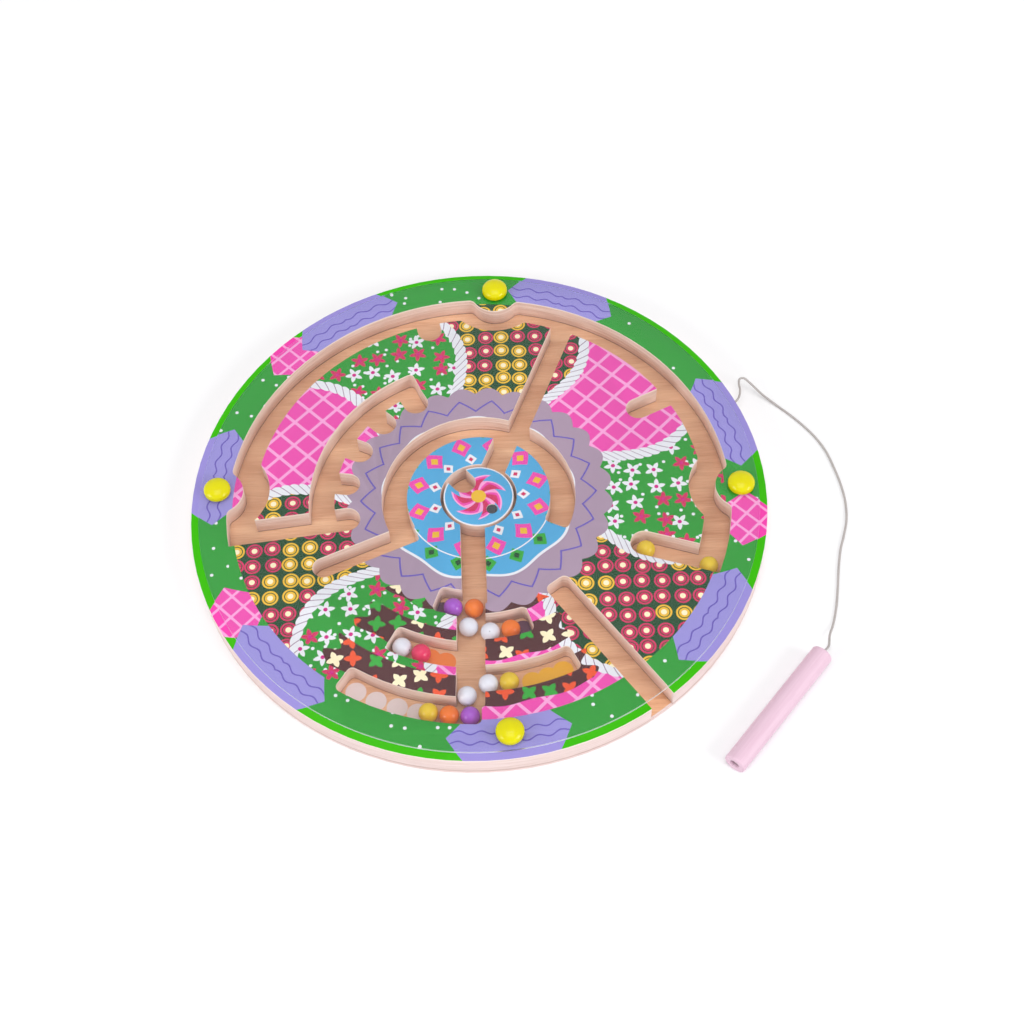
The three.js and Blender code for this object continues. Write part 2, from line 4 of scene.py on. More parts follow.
import bmesh
import bpy
import numpy as np
from mathutils import Matrix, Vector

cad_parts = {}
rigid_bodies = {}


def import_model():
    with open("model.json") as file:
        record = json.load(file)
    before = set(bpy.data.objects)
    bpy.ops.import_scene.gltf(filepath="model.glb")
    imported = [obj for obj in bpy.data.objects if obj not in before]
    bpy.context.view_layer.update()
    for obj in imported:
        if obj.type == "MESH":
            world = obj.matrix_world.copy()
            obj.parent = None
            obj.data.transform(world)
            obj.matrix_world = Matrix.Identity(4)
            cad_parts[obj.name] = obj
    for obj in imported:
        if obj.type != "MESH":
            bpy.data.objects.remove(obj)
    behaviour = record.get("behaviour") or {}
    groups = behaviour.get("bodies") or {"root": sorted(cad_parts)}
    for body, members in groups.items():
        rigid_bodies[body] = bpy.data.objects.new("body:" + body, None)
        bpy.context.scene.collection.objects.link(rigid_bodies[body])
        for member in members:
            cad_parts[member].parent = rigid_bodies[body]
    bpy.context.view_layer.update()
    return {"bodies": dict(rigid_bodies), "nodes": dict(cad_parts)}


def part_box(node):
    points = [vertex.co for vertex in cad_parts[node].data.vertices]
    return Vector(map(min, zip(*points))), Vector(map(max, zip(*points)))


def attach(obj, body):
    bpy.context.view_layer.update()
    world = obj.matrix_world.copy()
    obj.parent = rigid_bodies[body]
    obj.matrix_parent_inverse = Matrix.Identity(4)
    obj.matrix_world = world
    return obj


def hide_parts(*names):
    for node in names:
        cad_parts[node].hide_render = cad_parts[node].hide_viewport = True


# A round magnetic bead maze on a white table: plywood with routed channels and a printed face, a
# clear cover on four screws with yellow caps, a turntable, fifteen beads, and a painted wand on a
# cord. Lengths are in millimetres and become metres where a mesh is made. Those of the camera's
# clipping, the table and the lamps are written in metres.

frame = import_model()

MM = 0.001
BOARD_R = 150.0
FLOOR_Z = 2.5
PRINT_Z = 14.0
COVER_TOP = 16.0
COVER_R = 146.0
COVER_ROUND, SUPPORT_RING = 0.35, 2.0
AIR_FILM = 0.04
FIT_GAP = 0.3
INK_DEPTH = 0.02
RIM_CHANNEL_WALL = 131.6
CAP_SPOT_R = 137.0
CAP_ANGLES = (-0.3, 84.6, 176.0, 274.8)
CAP_R, CAP_SKIRT, CAP_RISE, CAP_WALL, CAP_ROUND = 7.0, 1.4, 3.8, 1.0, 0.3
BEAD_R = 4.9
SLUG_R, SLUG_CROWN, SLUG_ROUND = 2.7, 0.1, 0.4

# Angles between faces, in degrees: flattened below the first, shaded smooth below the second,
# rounded above the third. Corners of a CAD copy closer than WELD are one.
FLAT_WITHIN, SMOOTH_BELOW, EASED_ABOVE = 0.6, 38, 40
WELD = 0.002


# The camera, fitted to the photograph: its place in millimetres, its lens, its angles in degrees

CAMERA_PLACE = (17.09, -487.37, 760.23)
CAMERA_ELEVATION = 57.42
CAMERA_ROLL = -2.57
CAMERA_LENS = 60.0


def aim_camera():
    """It looks toward +Y and down by its elevation, turned about its own axis by its roll."""
    tilt, roll = math.radians(CAMERA_ELEVATION), math.radians(CAMERA_ROLL)
    ahead = np.array([0.0, math.cos(tilt), -math.sin(tilt)])
    above = np.array([0.0, math.sin(tilt), math.cos(tilt)])
    right = np.array([1.0, 0.0, 0.0])
    side = math.cos(roll) * right + math.sin(roll) * above
    top = math.cos(roll) * above - math.sin(roll) * right
    data = bpy.data.cameras.new("camera")
    data.lens = CAMERA_LENS
    data.sensor_width = 36.0
    data.clip_start, data.clip_end = 0.01, 20.0
    camera = bpy.data.objects.new("camera", data)
    matrix = np.eye(4)
    matrix[:3, 0], matrix[:3, 1], matrix[:3, 2] = side, top, -ahead
    matrix[:3, 3] = np.array(CAMERA_PLACE) * MM
    camera.matrix_world = Matrix(matrix.tolist())
    bpy.context.scene.collection.objects.link(camera)
    bpy.context.scene.camera = camera


aim_camera()


# Surfaces worked out as whole arrays, and the meshes made from them


def volume_of(points, faces):
    """Six times the enclosed volume: the sum over each face's fan of a . (b x c)."""
    total = 0.0
    for corners in faces:
        a, b, c = points[corners[:, 0]], points[corners[:, 1]], points[corners[:, 2]]
        total += np.einsum("ij,ij->", a, np.cross(b, c))
        if corners.shape[1] == 4:
            d = points[corners[:, 3]]
            total += np.einsum("ij,ij->", a, np.cross(c, d))
    return total


def make_piece(name, points, faces, body, replaced, material, uv=None):
    """A closed surface in millimetres becomes a smooth piece whose faces point outwards. A face
    that crosses the map's seam keeps its corners together: those half a turn behind gain one."""
    faces = [np.asarray(f) for f in faces if len(f)]
    if volume_of(points, faces) < 0:
        faces = [f[:, ::-1] for f in faces]
    used, fresh = np.unique(np.concatenate([f.ravel() for f in faces]), return_inverse=True)
    ends = np.cumsum([f.size for f in faces])[:-1]
    parts = [p.reshape(f.shape) for p, f in zip(np.split(fresh, ends), faces)]
    mesh = bpy.data.meshes.new(name)
    mesh.from_pydata((points[used] * MM).tolist(), [], sum((p.tolist() for p in parts), []))
    if uv is not None:
        layer = mesh.uv_layers.new(name="UVMap")
        corner = np.zeros(len(mesh.loops), np.int32)
        mesh.loops.foreach_get("vertex_index", corner)
        start = np.zeros(len(mesh.polygons), np.int32)
        mesh.polygons.foreach_get("loop_start", start)
        place = uv[used][corner]
        sides = np.diff(np.append(start, len(place)))
        highest = np.repeat(np.maximum.reduceat(place[:, 0], start), sides)
        place[:, 0] += place[:, 0] < highest - 0.5
        layer.data.foreach_set("uv", place.ravel())
    mesh.shade_smooth()
    mesh.set_sharp_from_angle(angle=math.radians(SMOOTH_BELOW))
    piece = bpy.data.objects.new(name, mesh)
    bpy.context.scene.collection.objects.link(piece)
    return dress(piece, body, replaced, material)


def dress(piece, body, replaced, material):
    """The piece gets its material and its body, and the CAD node that it stands for is hidden."""
    piece.data.materials.clear()
    piece.data.materials.append(material)
    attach(piece, body)
    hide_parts(replaced)
    return piece


def eased(profile, radius, steps=5):
    """Each inner corner of a polyline becomes a quadratic curve between two points, one radius (or
    half the shorter side) before and after it: (1-t)^2 A + 2 t (1-t) P + t^2 B."""
    points = np.asarray(profile, float)
    out = [points[:1]]
    t = np.linspace(0, 1, steps)[:, None]
    for before, here, after in zip(points[:-2], points[1:-1], points[2:]):
        back, ahead = before - here, after - here
        a = here + back * min(0.49, radius / np.linalg.norm(back))
        b = here + ahead * min(0.49, radius / np.linalg.norm(ahead))
        out.append((1 - t) ** 2 * a + 2 * t * (1 - t) * here + t**2 * b)
    return np.vstack(out + [points[-1:]])


def turned(profile, turns):
    """A profile point (r, z) goes to (r cos a, r sin a, z) at every angle a of a full turn. A
    point with r = 0 is one pole, where the quads close into triangles."""
    r, z = np.asarray(profile, float).T
    a = np.linspace(0, 2 * np.pi, turns, endpoint=False)
    grid = np.stack([r[:, None] * np.cos(a), r[:, None] * np.sin(a), z[:, None] + 0 * a], -1)
    index = np.arange(grid.shape[0] * turns).reshape(-1, turns)
    pole = r < 1e-9
    index[pole] = index[pole][:, :1]
    low, high = index[:-1], index[1:]
    quads = np.stack([low, np.roll(low, -1, 1), np.roll(high, -1, 1), high], -1)
    full = ~(pole[:-1] | pole[1:])
    opening, closing = pole[:-1] & ~pole[1:], pole[1:] & ~pole[:-1]
    return grid.reshape(-1, 3), [
        quads[full].reshape(-1, 4),
        quads[opening][..., [0, 2, 3]].reshape(-1, 3),
        quads[closing][..., [0, 1, 2]].reshape(-1, 3),
    ]


def tube(path, radius, sides=12):
    """A circle carried along a path: point + radius (cos a N + sin a B), where N is level and
    square to the path and B is square to both. A fan closes each end."""
    ahead = np.gradient(path, axis=0)
    ahead /= np.linalg.norm(ahead, axis=1)[:, None]
    level = np.cross(ahead, [0.0, 0.0, 1.0])
    level /= np.linalg.norm(level, axis=1)[:, None]
    up = np.cross(level, ahead)
    a = np.linspace(0, 2 * np.pi, sides, endpoint=False)[None, :, None]
    ring = path[:, None] + radius * (np.cos(a) * level[:, None] + np.sin(a) * up[:, None])
    steps = len(path)
    index = np.arange(steps * sides).reshape(steps, sides)
    low, high = index[:-1], index[1:]
    quads = np.stack([low, np.roll(low, -1, 1), np.roll(high, -1, 1), high], -1).reshape(-1, 4)
    first, last = steps * sides, steps * sides + 1
    caps = [
        np.stack([np.full(sides, first), np.roll(index[0], -1), index[0]], -1),
        np.stack([np.full(sides, last), index[-1], np.roll(index[-1], -1)], -1),
    ]
    along = np.concatenate([[0], np.cumsum(np.linalg.norm(np.diff(path, axis=0), axis=1))])
    around = np.broadcast_to(np.linspace(0, 1, sides, endpoint=False), (steps, sides))
    uv = np.stack([around, np.repeat(along[:, None], sides, 1)], -1).reshape(-1, 2)
    uv = np.vstack([uv, [[0.5, along[0]], [0.5, along[-1]]]])
    return np.vstack([ring.reshape(-1, 3), path[:1], path[-1:]]), [quads] + caps, uv


def smooth_route(knots, per_knot=24):
    """A centripetal Catmull-Rom curve: the knots' parameter steps are the square roots of their
    distances, and each span blends three lines twice (Barry and Goldman's pyramid)."""
    p = np.vstack([2 * knots[0] - knots[1], knots, 2 * knots[-1] - knots[-2]])
    out = []
    for p0, p1, p2, p3 in zip(p[:-3], p[1:-2], p[2:-1], p[3:]):
        steps = [np.sqrt(np.linalg.norm(b - a)) for a, b in ((p0, p1), (p1, p2), (p2, p3))]
        t0, t1, t2, t3 = np.concatenate([[0], np.cumsum(steps)])
        t = np.linspace(t1, t2, per_knot, endpoint=False)[:, None]
        a1 = (t1 - t) / (t1 - t0) * p0 + (t - t0) / (t1 - t0) * p1
        a2 = (t2 - t) / (t2 - t1) * p1 + (t - t1) / (t2 - t1) * p2
        a3 = (t3 - t) / (t3 - t2) * p2 + (t - t2) / (t3 - t2) * p3
        b1 = (t2 - t) / (t2 - t0) * a1 + (t - t0) / (t2 - t0) * a2
        b2 = (t3 - t) / (t3 - t1) * a2 + (t - t1) / (t3 - t1) * a3
        out.append((t2 - t) / (t2 - t1) * b1 + (t - t1) / (t2 - t1) * b2)
    return np.vstack(out + [knots[-1:]])


def eased_copy(name, node, width, body, material):
    """A merged copy of a CAD node, its sharp edges rounded by a width and its flat faces kept."""
    mesh = frame["nodes"][node].data.copy()
    mesh.name = name
    work = bmesh.new()
    work.from_mesh(mesh)
    bmesh.ops.remove_doubles(work, verts=work.verts, dist=WELD * MM)
    bmesh.ops.dissolve_limit(
        work, angle_limit=math.radians(FLAT_WITHIN), verts=work.verts, edges=work.edges)
    work.to_mesh(mesh)
    work.free()
    mesh.shade_smooth()
    piece = bpy.data.objects.new(name, mesh)
    bpy.context.scene.collection.objects.link(piece)
    bevel = piece.modifiers.new("eased", "BEVEL")
    bevel.width = width * MM
    bevel.segments = 2
    bevel.limit_method = "ANGLE"
    bevel.angle_limit = math.radians(EASED_ABOVE)
    bevel.harden_normals = True
    return dress(piece, body, node, material)


# Helpers that lay nodes in a tree


def colour(red, green, blue):
    """A display colour, 0 to 255 a channel, in the renderer's linear light."""
    c = np.array([red, green, blue]) / 255
    linear = np.where(c <= 0.04045, c / 12.92, ((c + 0.055) / 1.055) ** 2.4)
    return (*linear.tolist(), 1.0)


class Field:
    """A value that changes over a surface. Arithmetic on it lays Math nodes in its tree."""

    def __init__(self, tree, socket):
        self.tree, self.socket = tree, socket

    def math(self, operation, *others, first=None):
        node = self.tree.nodes.new("ShaderNodeMath")
        node.operation = operation
        values = (self, *others) if first is None else (first, self)
        for slot, value in zip(node.inputs, values):
            feed(self.tree, slot, value)
        return Field(self.tree, node.outputs[0])

    def __add__(self, other):
        return self.math("ADD", other)

    def __sub__(self, other):
        return self.math("SUBTRACT", other)

    def __rsub__(self, other):
        return self.math("SUBTRACT", first=other)

    def __mul__(self, other):
        return self.math("MULTIPLY", other)

    def __truediv__(self, other):
        return self.math("DIVIDE", other)

    def __gt__(self, other):
        return self.math("GREATER_THAN", other)

    def __lt__(self, other):
        return self.math("LESS_THAN", other)

    __radd__, __rmul__ = __add__, __mul__

    def abs(self):
        return self.math("ABSOLUTE")

    def fract(self):
        return self.math("FRACT")

    def sin(self):
        return self.math("SINE")

    def max(self, other):
        return self.math("MAXIMUM", other)

    def min(self, other):
        return self.math("MINIMUM", other)

    def with_length(self, other):
        """The length of the pair (self, other)."""
        return (self * self + other * other).math("SQRT")

    def between(self, low, high):
        return (self > low) * (self < high)


def feed(tree, slot, value):
    """A field or a socket is linked to the slot; a plain value is set on it."""
    if isinstance(value, Field):
        tree.links.new(value.socket, slot)
    elif hasattr(value, "links"):
        tree.links.new(value, slot)
    else:
        slot.default_value = value


def add(tree, kind, settings=(), **inputs):
    """A node of a kind, with its settings and with inputs named as on the node."""
    node = tree.nodes.new("ShaderNode" + kind)
    for name, value in dict(settings).items():
        setattr(node, name, value)
    for name, value in inputs.items():
        feed(tree, node.inputs[name.replace("_", " ")], value)
    return node


def mixed(tree, mask, under, over):
    """The under colour where the mask is 0, the over colour where it is 1."""
    node = tree.nodes.new("ShaderNodeMix")
    node.data_type = "RGBA"
    for slot, value in zip((node.inputs[0], node.inputs[6], node.inputs[7]), (mask, under, over)):
        feed(tree, slot, value)
    return node.outputs[2]


def scaled(tree, vector, factors):
    """The vector, each part times its own factor."""
    return add(tree, "Mapping", Vector=vector, Scale=factors).outputs[0]


def place_in_mm(tree):
    """Object coordinates in millimetres: the vector and its three fields."""
    source = add(tree, "TexCoord").outputs["Object"]
    vector = scaled(tree, source, (1000, 1000, 1000))
    split = add(tree, "SeparateXYZ", Vector=vector)
    return vector, *[Field(tree, s) for s in split.outputs]


def facing_up(tree):
    """1 where the surface faces up or down, 0 on walls."""
    normal = add(tree, "NewGeometry").outputs["Normal"]
    z = Field(tree, add(tree, "SeparateXYZ", Vector=normal).outputs[2])
    return z.abs() > 0.6


def noise(tree, vector, scale, detail=3.0, rough=0.5, warp=0.0):
    """Soft noise about 0.5, whose coarsest grain is 1 / scale in the vector's own units."""
    node = add(tree, "TexNoise", Vector=vector, Scale=scale, Detail=detail, Roughness=rough,
               Distortion=warp)
    return Field(tree, node.outputs[0])


def ramp(tree, field, stops):
    """A colour ramp through (position, colour) stops."""
    node = tree.nodes.new("ShaderNodeValToRGB")
    feed(tree, node.inputs[0], field)
    elements = node.color_ramp.elements
    elements[0].position, elements[0].color = stops[0]
    elements[1].position, elements[1].color = stops[-1]
    for position, tone in stops[1:-1]:
        elements.new(position).color = tone
    return node.outputs[0]


def new_material(name, **values):
    """A material with a Principled shader, whose plain sockets are set by name."""
    material = bpy.data.materials.new(name)
    material.use_nodes = True
    tree = material.node_tree
    shader = tree.nodes["Principled BSDF"]
    for key, value in values.items():
        shader.inputs[key.replace("_", " ")].default_value = value
    return material, tree, shader


def bump(tree, shader, height, strength, distance):
    """A height field tilts the shader's normal. The distance is in millimetres."""
    node = add(tree, "Bump", Strength=strength, Distance=distance * MM, Height=height)
    tree.links.new(node.outputs[0], shader.inputs["Normal"])


def new_group(name, inputs, outputs):
    """A shader node group with its named input and output sockets, its input and output nodes."""
    tree = bpy.data.node_groups.new(name, "ShaderNodeTree")
    for kind, label, value in inputs:
        socket = tree.interface.new_socket(label, in_out="INPUT", socket_type="NodeSocket" + kind)
        if value is not None:
            socket.default_value = value
    for kind, label in outputs:
        tree.interface.new_socket(label, in_out="OUTPUT", socket_type="NodeSocket" + kind)
    source, sink = tree.nodes.new("NodeGroupInput"), tree.nodes.new("NodeGroupOutput")
    return tree, source.outputs, sink.inputs


def use_group(tree, group, **inputs):
    """A shared group placed in a material with its own values; gives the group's outputs."""
    node = tree.nodes.new("ShaderNodeGroup")
    node.node_tree = group
    for name, value in inputs.items():
        feed(tree, node.inputs[name.replace("_", " ")], value)
    return node.outputs


# Effects that more than one material uses


BLACK, WHITE = (0, 0, 0, 1), (1, 1, 1, 1)
VENEER = 2.3


def grain_group():
    """Birch grain along X: long fibres and short pores on faces. Walls have level veneer streaks,
    thin glue lines, a pale top edge that is partly bare eased wood and partly painted highlight,
    and a dark seam where they meet the backing: the joint line, widened by painted shade in that
    corner. Place is in millimetres."""
    tree, given, sink = new_group(
        "birch_grain",
        [("Vector", "Place", None), ("Float", "Wall", 0.0), ("Color", "Pale", (0.8, 0.6, 0.4, 1)),
         ("Color", "Deep", (0.6, 0.4, 0.2, 1)), ("Color", "Seam", (0.2, 0.1, 0.05, 1))],
        [("Color", "Color"), ("Float", "Height"), ("Float", "Roughness")])
    place, wall = given["Place"], Field(tree, given["Wall"])
    bands = noise(tree, scaled(tree, place, (0.012, 0.11, 0.11)), 1.0, 5, 0.55, 0.6)
    fibres = noise(tree, scaled(tree, place, (0.08, 2.2, 2.2)), 1.0, 4, 0.6)
    pores = noise(tree, scaled(tree, place, (0.28, 3.6, 3.6)), 1.0, 2, 0.5) > 0.66
    height_z = Field(tree, add(tree, "SeparateXYZ", Vector=place).outputs[2])
    streaks = noise(tree, scaled(tree, place, (0.035, 0.035, 1.7)), 1.0, 4, 0.65)
    glue = ((height_z - FLOOR_Z) / VENEER).fract() < 0.055
    face = bands * 0.55 + fibres * 0.45 + pores * 0.12
    edge = streaks * 0.9 + fibres * 0.1 + glue * 0.14
    tone = face * (1 - wall) + edge * wall
    mask = ramp(tree, tone, [(0.34, BLACK), (0.66, WHITE)])
    grained = mixed(tree, mask, given["Pale"], given["Deep"])
    # Painted shade: the lowest 0.8 mm of each wall darkens towards the seam colour at its corner
    # with the floor, over the joint line.
    seam = (height_z - FLOOR_Z).abs().math("MULTIPLY_ADD", -1.25, 1.0).max(0) * wall
    # Partly painted highlight: the top 0.8 mm of every surface lightens towards pale cream, over
    # the bare eased wood of the edge.
    bare_edge_and_highlight = ((height_z - 13.2) * 3).max(0).min(0.8)
    grained = mixed(tree, bare_edge_and_highlight, grained, colour(255, 240, 228))
    feed(tree, sink["Color"], mixed(tree, seam.min(0.8), grained, given["Seam"]))
    feed(tree, sink["Height"], fibres * 0.6 - pores * 0.5)
    feed(tree, sink["Roughness"], 0.5 + fibres * 0.2)
    return tree


def lacquer_group():
    """Gloss finish on balls and caps: a slow drift of tone, faint flow marks, and dark specks."""
    tree, given, sink = new_group(
        "lacquer",
        [("Vector", "Place", None), ("Color", "Tone", (0.8, 0.8, 0.8, 1)),
         ("Color", "Shade", (0.6, 0.6, 0.6, 1)), ("Float", "Specks", 0.0)],
        [("Color", "Color"), ("Float", "Height"), ("Float", "Roughness")])
    place = given["Place"]
    drift = noise(tree, place, 0.16, 3, 0.5)
    mask = Field(tree, ramp(tree, drift, [(0.35, BLACK), (0.7, WHITE)]))
    cells = add(tree, "TexVoronoi", Vector=place, Scale=0.3)
    speck = (Field(tree, cells.outputs["Distance"]) < 0.14) * (
        Field(tree, add(tree, "SeparateXYZ", Vector=cells.outputs["Color"]).outputs[0]) > 0.7)
    base = mixed(tree, mask * 0.5, given["Tone"], given["Shade"])
    dark = speck * Field(tree, given["Specks"])
    feed(tree, sink["Color"], mixed(tree, dark, base, (0.08, 0.08, 0.1, 1)))
    feed(tree, sink["Height"], noise(tree, place, 0.5, 2, 0.5))
    feed(tree, sink["Roughness"], 0.12 + mask * 0.06)
    return tree


BIRCH = grain_group()
LACQUER = lacquer_group()

# The pale wood, the deep wood and the seam of a wall, of a channel's floor and of the rim; the
# seam's dark is painted shade in the corner where a wall meets the floor
WALL_TONES = colour(248, 224, 212), colour(217, 180, 163), colour(104, 56, 38)
FLOOR_TONES = colour(246, 198, 158), colour(210, 150, 114), colour(112, 62, 42)
RIM_TONES = colour(244, 226, 224), colour(220, 196, 190), colour(186, 154, 144)


# The inks and the layers of the printed face

GREEN, BRIGHT_GREEN = colour(29, 147, 40), colour(58, 180, 6)
DARK_GREEN, LEAF_GREEN = colour(2, 64, 28), colour(44, 162, 50)
LILAC, VIOLET = colour(152, 141, 210), colour(100, 80, 178)
PINK, PALE_PINK = colour(238, 68, 170), colour(250, 162, 214)
CRIMSON, MAGENTA = colour(208, 36, 92), colour(206, 8, 128)
GOLD, CREAM = colour(238, 184, 44), colour(255, 236, 196)
OFF_WHITE, MAUVE = colour(234, 230, 236), colour(168, 141, 162)
BLUE, BROWN, ORANGE = colour(78, 165, 214), colour(76, 27, 31), colour(236, 80, 36)


class Print:
    """Layers of flat ink over X and Y in millimetres, with polar fields and motifs."""

    def __init__(self, tree, x, y, base):
        self.tree, self.x, self.y = tree, x, y
        self.r = x.with_length(y)
        self.angle = y.math("ARCTAN2", x) * (180 / math.pi)
        self.ink = base

    def lay(self, mask, ink):
        """The ink covers what was laid before, where the mask is 1."""
        self.ink = mixed(self.tree, mask, self.ink, ink)

    def scatter(self, pitch, jitter, shift=0.0):
        """A motif's own place in a field of jittered cells: its distance from the cell's spot, its
        angle in turns, and two numbers that are the cell's own. The spot itself is kept."""
        vector = add(self.tree, "CombineXYZ", X=self.x / pitch + shift, Y=self.y / pitch).outputs[0]
        cells = add(self.tree, "TexVoronoi", {"voronoi_dimensions": "2D"}, Vector=vector,
                    Scale=1.0, Randomness=jitter)
        self.spot = cells.outputs["Position"]
        local = add(self.tree, "VectorMath", {"operation": "SUBTRACT"})
        self.tree.links.new(vector, local.inputs[0])
        self.tree.links.new(cells.outputs["Position"], local.inputs[1])
        split = add(self.tree, "SeparateXYZ", Vector=local.outputs[0])
        dx, dy = (Field(self.tree, s) * pitch for s in split.outputs[:2])
        own = add(self.tree, "SeparateXYZ", Vector=cells.outputs["Color"])
        pick, spin = (Field(self.tree, s) for s in own.outputs[:2])
        turn = dy.math("ARCTAN2", dx) / (2 * math.pi)
        return dx.with_length(dy), turn, pick, spin

    def star(self, reach, turn, spin, points, size, waist):
        """Inside a star: the edge swings between its waist and its size once for each point."""
        wave = ((turn + spin) * points).fract() - 0.5
        return reach < (wave.abs() * (2 * (size - waist)) + waist)

    def diamonds(self, pitch, fill):
        """1 inside the squares of a grid turned by 45 degrees."""
        a, b = ((self.x + self.y) / pitch).fract() - 0.5, ((self.x - self.y) / pitch).fract() - 0.5
        return a.abs().max(b.abs()) < fill


def star_lawn(art, where):
    """Green with white and crimson five-point stars and small pale dots."""
    art.lay(where, GREEN)
    reach, _, pick, _ = art.scatter(6.1, 1.0, 3.7)
    art.lay(where * (reach < 0.9) * (pick > 0.62), OFF_WHITE)
    reach, turn, pick, spin = art.scatter(11.4, 0.5)
    shape = art.star(reach, turn, spin, 5, 5.0, 1.9) * where
    art.lay(shape, OFF_WHITE)
    art.lay(shape * (pick > 0.52), CRIMSON)
    art.lay((reach < 1.1) * where, MAGENTA)


def button_field(art, where):
    """Dark green with golden and crimson buttons in drifts."""
    art.lay(where, DARK_GREEN)
    reach, _, _, _ = art.scatter(9.4, 0.14, 0.4)
    drift = noise(art.tree, art.spot, 0.29, 0.0) > 0.5
    disc = (reach < 4.2) * where
    art.lay(disc, GOLD)
    art.lay(disc * drift, CRIMSON)
    art.lay(reach.between(2.7, 3.2) * where, DARK_GREEN)
    art.lay((reach < 1.5) * where, CREAM)


def harlequin(art, where, pitch=15.0):
    """Deep pink diamonds in pale pink."""
    art.lay(where, PALE_PINK)
    art.lay(where * art.diamonds(pitch, 0.42), PINK)


def printed_face(tree, x, y):
    """A generic print: a twisted wheel of star lawns, harlequin fields and button fields, parted
    by white ropes, round a blue middle with a mauve border."""
    art = Print(tree, x, y, GREEN)
    r, angle = art.r, art.angle
    twist = ((r - 45) * (math.pi / 95)).sin() * 0.34
    wheel = angle * (9 / 360) + twist + 0.3
    kind = (wheel / 3).fract()
    star_lawn(art, kind < 1 / 3)
    harlequin(art, kind.between(1 / 3, 2 / 3))
    button_field(art, kind > 2 / 3)
    across = ((wheel + 0.5).fract() - 0.5) * (40 * math.pi / 180) * r
    twill = ((r + across * 1.1) / 4.6).fract()
    rope = across.abs() < (2.6 + (twill * math.pi).sin() * 0.8)
    art.lay(rope, OFF_WHITE)
    art.lay(rope * (twill < 0.13), MAUVE)

    # Brown arcs with small diamonds at the front
    front = (angle + 97).abs() < (34 + (r * 0.55).sin() * 1.6)
    arcs = ((r - 55) / 25).fract() < (0.66 + (angle * 0.42).sin() * 0.03)
    soil = front * arcs * r.between(55, RIM_CHANNEL_WALL + 4)
    art.lay(soil, BROWN)
    reach, turn, pick, spin = art.scatter(10.6, 0.3, 5.2)
    gem = art.star(reach, turn, spin, 4, 4.6, 2.0) * soil
    art.lay(gem, ORANGE)
    art.lay(gem * (pick > 0.55), LEAF_GREEN)
    art.lay(gem * (pick > 0.78), CREAM)

    # Mauve border with a zigzag, and the blue middle with three rings of lozenges
    scallop = (angle * (math.pi / 180) * 14).sin().abs() * 4
    art.lay(r < (66 + scallop), MAUVE)
    zigzag = ((angle * (22 / 360)).fract() - 0.5).abs() * 14 + 54.5
    art.lay((r - zigzag).abs() < 0.55, VIOLET)
    art.lay(r < (50 + (angle * (math.pi / 180) * 9).sin() * 1.3), OFF_WHITE)
    art.lay(r < (48.6 + (angle * (math.pi / 180) * 9).sin() * 1.3), BLUE)
    for ring_r, count, size, ink, heart in (
        (41.5, 17, 4.4, LEAF_GREEN, DARK_GREEN), (32.0, 12, 5.6, PINK, GOLD),
        (23.5, 11, 3.2, OFF_WHITE, CRIMSON),
    ):
        step = ((angle * (count / 360) + ring_r).fract() - 0.5) * (2 * math.pi * ring_r / count)
        lozenge = step.abs() + (r - ring_r).abs() * 0.9
        art.lay(lozenge < size, ink)
        art.lay(lozenge < size * 0.42, heart)
    art.lay((r - 38.3).abs() < 0.35, OFF_WHITE)

    # Outer band: green, with lilac and harlequin patches and a brighter edge beyond the cover
    band = r > RIM_CHANNEL_WALL - 3
    art.lay(band, GREEN)
    reach, _, pick, _ = art.scatter(7.0, 1.0, 1.3)
    art.lay(band * (reach < 0.9) * (pick > 0.7), OFF_WHITE)
    art.lay(band * (r > COVER_R), BRIGHT_GREEN)
    point = (r - 139).abs() * 0.8
    side = ((angle * (5 / 360) + 0.62).fract() - 0.5).abs() * (2 * math.pi / 5) * 140
    harlequin(art, band * ((side + point) < 17), 12.0)
    side = ((angle * (7 / 360) + 0.16).fract() - 0.5).abs() * (2 * math.pi / 7) * 140
    patch = band * ((side + point) < 31)
    art.lay(patch, LILAC)
    wave = (side * 0.57).sin() * 0.9 + r
    art.lay(patch * ((wave - 135.5).abs() < 0.4), VIOLET)
    art.lay(patch * ((wave - 141).abs() < 0.4), VIOLET)
    return art


def plywood_shader(tree, shader, place, wall, rim, tones, ink, inked):
    """Birch grain in tones of its own at the rim, with ink over it where inked is 1."""
    pale, deep, seam = (mixed(tree, rim, a, b) for a, b in zip(tones, RIM_TONES))
    wood = use_group(tree, BIRCH, Place=place, Wall=wall, Pale=pale, Deep=deep, Seam=seam)
    tone, rough = wood["Color"], Field(tree, wood["Roughness"])
    height = Field(tree, wood["Height"])
    mottle = noise(tree, place, 0.9, 2, 0.5) * 0.10 + 0.95
    worn = add(tree, "HueSaturation", Value=mottle, Color=ink).outputs[0]
    tone = mixed(tree, inked, tone, worn)
    rough = rough * (1 - inked) + (0.42 + mottle * 0.02) * inked
    height = height * (1 - inked * 0.8)
    feed(tree, shader.inputs["Base Color"], tone)
    feed(tree, shader.inputs["Roughness"], rough)
    bump(tree, shader, height, 0.35, 0.12)


def board_material():
    """Plywood whose top face is printed; its rim has paler tones."""
    material, tree, shader = new_material("printed_plywood", Specular_IOR_Level=0.12)
    place, x, y, z = place_in_mm(tree)
    wall = 1 - facing_up(tree)
    rim = x.with_length(y) > BOARD_R - 1.5
    art = printed_face(tree, x, y)
    plywood_shader(tree, shader, place, wall, rim, WALL_TONES, art.ink, z > PRINT_Z - INK_DEPTH)
    return material


